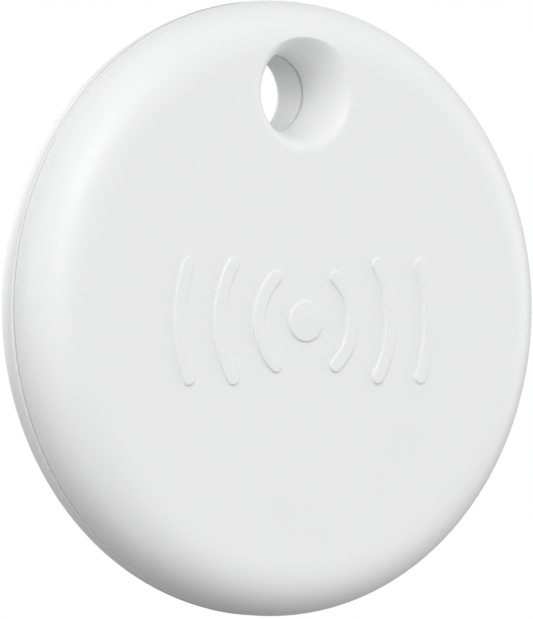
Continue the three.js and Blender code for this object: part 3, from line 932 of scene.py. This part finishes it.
def press_switch():
    """Housing, riveted lid, legs, snap dome and button."""
    x, z = centre("switch_base")
    low, high = (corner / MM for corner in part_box("switch_base"))
    piece = finished("switch_housing", block(low, high, 0.08), NYLON, "back_case")
    well_floor = highest("switch_dome")
    combine(piece, [("DIFFERENCE", cylinder(SWITCH_WELL, FRONT, well_floor, x, z))])
    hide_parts("switch_base")
    low, high = (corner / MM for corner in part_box("switch_cover"))
    piece = finished("switch_lid", block(low, high, 0.05), STEEL, "back_case")
    combine(piece, [("DIFFERENCE", cylinder(PLUNGER + SLIDE_FIT, FRONT, BACK, x, z))])
    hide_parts("switch_cover")
    bm = bmesh.new()
    for side_x in (-1, 1):
        for side_z in (-1, 1):
            rivet = bmesh.new()
            turned(rivet, arc(0, 0, RIVET, -90, 0, 6) + [(0, 0)], steps=20)
            flat = Matrix.Diagonal((1, 0.45, 1, 1))
            place = (x + side_x * RIVET_PLACE, low.y, z + side_z * RIVET_PLACE)
            absorb(bm, rivet, Matrix.Translation(place) @ flat)
    shaped("switch_rivets", bm, NYLON, "back_case", "switch_black")
    bm = bmesh.new()
    foot = highest("switch_base")
    for side_x in (-1, 1):
        for side_z in (-1, 1):
            inner, outer = sorted((x + side_x * 1.9, x + side_x * 2.5))
            middle = z + side_z * LEG_PLACE
            low, high = (inner, foot - 0.18, middle - 0.3), (outer, foot, middle + 0.3)
            absorb(bm, block(low, high, EASED))
    shaped("switch_legs", bm, TIN, "back_case", "contact")
    y0, y1 = lowest("switch_dome"), highest("switch_dome")
    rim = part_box("switch_dome")[1].x / MM - x
    crown = y1 - DOME_RISE
    profile = [(0, y0), (0.4, y0 + 0.004), (DOME_SHOULDER, y0 + DOME_RISE / 2)]
    profile += [(rim, y1 - DOME_GAUGE), (rim, y1), (DOME_SHOULDER, y1 - DOME_RISE / 2)]
    profile += [(0.4, crown + 0.004), (0, crown)]
    round_piece("switch_snap_dome", profile, "switch_dome", STEEL, "back_case", "switch_steel", 48)
    y0, y1 = lowest("switch_plunger"), highest("switch_plunger")
    flange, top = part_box("switch_plunger")[1].x / MM - x, lowest("switch_base")
    profile = [(0, y0)] + arc(PLUNGER - 0.1, y0 + 0.1, 0.1, -90, 0, 5)
    profile += [(PLUNGER, top), (flange, top), (flange, y1), (0, y1)]
    round_piece("switch_button", profile, "switch_plunger", NYLON, "plunger", "switch_black", 48)


def flat_chip(name, node, pads):
    """A leadless chip: moulded block, edge pads, and the round mark at its first pad."""
    low, high = (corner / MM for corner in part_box(node))
    x, z = centre(node)
    piece = shaped(name, block(low, high, 0.06), EPOXY, "back_case", "chip_black", node)
    dimple = cylinder(0.25, low.y - 1, low.y + 0.04, low.x + 0.7, high.z - 0.7, 24)
    combine(piece, [("DIFFERENCE", dimple)])
    bm = bmesh.new()
    half = (high.x - low.x) / 2
    corner_gap = 0.4
    pitch = 2 * (half - corner_gap) / (pads - 1)
    for turn in (0, 90, 180, 270):
        for number in range(pads):
            across = corner_gap - half + number * pitch
            pad_low = (across - 0.11, high.y - 0.2, half - 0.3)
            pad_high = (across + 0.11, high.y, half + 0.06)
            absorb(bm, block(pad_low, pad_high, 0.02), swung(x, z, turn))
    shaped(f"{name}_pads", bm, TIN, "back_case", "contact")


def lidded_crystal(name, node):
    """A crystal: fired base with a plated lid on it."""
    low, high = (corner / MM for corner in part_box(node))
    step = low.y + (high.y - low.y) * 0.45
    inset = 0.12
    base = block((low.x, step, low.z), (high.x, high.y, high.z), 0.05)
    shaped(f"{name}_base", base, FIRED, "back_case", "crystal_steel", node)
    lid_high = (high.x - inset, step + 0.05, high.z - inset)
    lid = block((low.x + inset, low.y, low.z + inset), lid_high, 0.08)
    shaped(f"{name}_lid", lid, LID, "back_case", "crystal_steel")


def board_antenna():
    """A fired block with tinned ends and bands, turned to follow the board's edge."""
    x, z = centre("chip_antenna")
    y0, y1 = lowest("chip_antenna"), highest("chip_antenna")
    turn = swung(x, z, ANTENNA_TURN)
    body = bmesh.new()
    absorb(body, block((-2.6, y0 + 0.03, -0.97), (2.6, y1, 0.97), 0.05), turn)
    shaped("antenna_body", body, FIRED, "back_case", "antenna", "chip_antenna")
    bands = bmesh.new()
    for end in (-1, 1):
        inner, outer = sorted((end * 2.4, end * 3))
        absorb(bands, block((inner, y0, -1), (outer, y1, 1), 0.06), turn)
    for number in range(5):
        across = -1.8 + 0.9 * number
        low, high = (across - 0.15, y0 + 0.005, -0.8), (across + 0.15, y0 + 0.06, 0.8)
        absorb(bands, block(low, high), turn)
    shaped("antenna_bands", bands, TIN, "back_case", "antenna")


def board_coil():
    """A ferrite block with a round well, and the winding's rings and core in it."""
    low, high = (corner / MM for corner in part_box("boost_coil"))
    x, z = centre("boost_coil")
    body = block(low, high, 0.12)
    piece = shaped("coil_block", body, FERRITE, "back_case", "ferrite", "boost_coil")
    combine(piece, [("DIFFERENCE", cylinder(1.15, low.y - 1, low.y + 0.35, x, z, 48))])
    winding = bmesh.new()
    wire = 0.085
    for radius in (0.62, 0.80, 0.98):
        ring = soft_section(radius - wire, radius + wire, low.y + 0.12, low.y + 0.34, 0.07)
        turned(winding, ring, x, z, 48)
    core = bmesh.new()
    turned(core, soft_disc(0.48, low.y + 0.02, low.y + 0.34, 0.06), x, z, 40)
    shaped("coil_winding", winding, BRASS, "back_case", "contact")
    shaped("coil_core", core, FERRITE, "back_case", "ferrite")


def capacitors():
    """Fired blocks with tinned ends: the large one, and the tiny parts round the board."""
    low, high = (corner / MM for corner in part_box("bulk_capacitor"))
    middle = block(low + Vector((0.02, 0.02, 0.45)), high - Vector((0.02, 0.0, 0.45)), EASED)
    shaped("capacitor_body", middle, BROWN, "back_case", "capacitor", "bulk_capacitor")
    ends = bmesh.new()
    absorb(ends, block(low, (high.x, high.y, low.z + 0.6), 0.1))
    absorb(ends, block((low.x, low.y, high.z - 0.6), high, 0.1))
    shaped("capacitor_ends", ends, TIN, "back_case", "contact")
    bodies, caps = bmesh.new(), bmesh.new()
    for at_x, at_z, degrees in TINY_PARTS:
        place = swung(at_x, DISC_Z + at_z, degrees)
        body = block((-0.3, BOARD_FRONT - 0.34, -0.24), (0.3, BOARD_FRONT, 0.24), 0.03)
        absorb(bodies, body, place)
        for end in (-1, 1):
            inner, outer = sorted((end * 0.26, end * 0.5))
            cap = block((inner, BOARD_FRONT - 0.36, -0.26), (outer, BOARD_FRONT, 0.26), EASED)
            absorb(caps, cap, place)
    shaped("tiny_part_bodies", bodies, BROWN, "back_case", "capacitor")
    shaped("tiny_part_ends", caps, TIN, "back_case", "contact")


TINY_PARTS = (  # x and z from the disc's centre, and the turn in degrees
    (-5.9, 8.7, 90),
    (-4.8, 8.7, 90),
    (-5.4, 3.6, 0),
    (3.6, 7.4, 90),
    (4.7, 7.4, 90),
    (12.2, 7.9, 0),
    (9.0, 3.6, 0),
    (-14.6, -3.0, 90),
    (-10.6, 1.4, 0),
    (11.0, -0.4, 90),
)


def inside():
    seals()
    sounder()
    board()
    traces()
    cradle()
    coin_cell()
    contacts()
    spring_pins()
    press_switch()
    flat_chip("radio_chip_body", "radio_chip", 8)
    flat_chip("sounder_chip_body", "sounder_chip", 4)
    lidded_crystal("radio_crystal", "radio_crystal")
    lidded_crystal("clock_crystal", "clock_crystal")
    board_antenna()
    board_coil()
    capacitors()
    core = frame["nodes"]["battery_core"]
    for holder in core.material_slots:
        holder.material = POWDER


# ---------------------------------------------------------------- stage, light and camera

CAMERA_AZIMUTH = -35.2
CAMERA_ELEVATION = 0.0
CAMERA_DISTANCE = 0.42
CAMERA_SHIFT = (-0.0077, -0.0018)
FRAME_HEIGHT = 619
SCALE = 15.84  # how tall one millimetre is at the disc, where the frame is FRAME_HEIGHT tall


def direction(azimuth, elevation):
    """From the object towards an azimuth and elevation in degrees; azimuth 0 is the front."""
    azimuth, elevation = math.radians(azimuth), math.radians(elevation)
    level = math.cos(elevation)
    return Vector((math.sin(azimuth) * level, -math.cos(azimuth) * level, math.sin(elevation)))


def camera():
    """A long lens to one side, level with the disc's middle."""
    data = bpy.data.cameras.new("camera")
    view = bpy.data.objects.new("camera", data)
    bpy.context.scene.collection.objects.link(view)
    bpy.context.scene.camera = view
    back = direction(CAMERA_AZIMUTH, CAMERA_ELEVATION)
    view.location = Vector((0, 0, DISC_Z * MM)) + back * CAMERA_DISTANCE
    aim = (-back).to_track_quat("-Z", "Y")
    view.rotation_mode = "QUATERNION"
    view.rotation_quaternion = aim
    data.sensor_width = 36
    data.lens = SCALE / MM * CAMERA_DISTANCE * data.sensor_width / FRAME_HEIGHT
    data.shift_x, data.shift_y = CAMERA_SHIFT
    data.clip_start = 0.01
    data.clip_end = 20


SKY = (  # how bright the studio is, from straight down at 0 to straight up at 1
    (0.0, 0.0),
    (0.2, 0.204),
    (0.35, 0.414),
    (0.5, 0.558),
    (0.65, 0.644),
    (0.8, 0.626),
    (1.0, 0.516),
)


def world():
    """Soft light from all round, brightest above the middle, that shows white to the camera."""
    made = bpy.data.worlds.new("studio")
    bpy.context.scene.world = made
    made.use_nodes = True
    sky = Finish("studio", made.node_tree)
    outward = sky.node("ShaderNodeTexCoord", output="Generated")
    upward = sky.node("ShaderNodeSeparateXYZ", {}, [outward], output="Z")
    inputs = {"Value": upward, "From Min": -1.0, "From Max": 1.0}
    level = sky.node("ShaderNodeMapRange", {}, inputs)
    stops = [(height, rgb(shade, shade, shade)) for height, shade in SKY]
    glow = sky.node("ShaderNodeValToRGB", {"stops": stops}, [level])
    seen = sky.node("ShaderNodeLightPath", output="Is Camera Ray")
    shown = sky.mix(seen, glow, rgb(1, 1, 1))
    lit = sky.node("ShaderNodeBackground", {}, {"Color": shown, "Strength": 1.0})
    sky.node("ShaderNodeOutputWorld", {}, [lit])


FLOOR_HALF = 3000
FLOOR_DROP = 4


def floor():
    """White paper that shows white to the camera and is hidden from the rays that light the disc.
    """
    bm = bmesh.new()
    bmesh.ops.create_grid(bm, x_segments=1, y_segments=1, size=FLOOR_HALF)
    bmesh.ops.translate(bm, verts=bm.verts, vec=(0, 0, back_low.z - FLOOR_DROP))
    paper = Finish("white_floor")
    seen = paper.node("ShaderNodeLightPath", output="Is Camera Ray")
    glow = paper.node("ShaderNodeEmission", {}, {"Color": rgb(1, 1, 1), "Strength": 1.0})
    dull = paper.node("ShaderNodeBsdfDiffuse", {}, {"Color": rgb(0.5, 0.5, 0.5)})
    mixed = paper.node("ShaderNodeMixShader", {}, [seen, dull, glow])
    paper.node("ShaderNodeOutputMaterial", {}, [mixed])
    piece = finished("floor", bm, paper.material)
    piece.visible_diffuse = False
    piece.visible_glossy = False
    piece.visible_shadow = False


LAMP_DISTANCE = 1.0
LAMP_SIZE = 0.6
LAMPS = {  # azimuth and elevation in degrees, and power in watts
    "front_softbox": (-35, 0, 1.057),
    "high_front_softbox": (-35, 35, 4.051),
    "left_softbox": (-110, 10, 1.05),
    "low_front_softbox": (-35, -60, 1.308),
    "low_right_softbox": (30, -30, 0.495),
    "right_softbox": (75, 0, 2.339),
    "back_softbox": (180, 10, 1.9),
}


def lamps():
    """Round softboxes that all face the disc's middle."""
    middle = Vector((0, 0, DISC_Z * MM))
    for name, (azimuth, elevation, power) in LAMPS.items():
        data = bpy.data.lights.new(name, "AREA")
        data.shape = "DISK"
        data.size = LAMP_SIZE
        data.energy = power
        light = bpy.data.objects.new(name, data)
        bpy.context.scene.collection.objects.link(light)
        outward = direction(azimuth, elevation)
        light.location = middle + outward * LAMP_DISTANCE
        light.rotation_mode = "QUATERNION"
        light.rotation_quaternion = (-outward).to_track_quat("-Z", "Y")


front_case()
back_case()
signal_mark()
inside()
camera()
world()
floor()
lamps()

scene = bpy.context.scene
scene.view_settings.view_transform = "Standard"
scene.view_settings.look = "None"
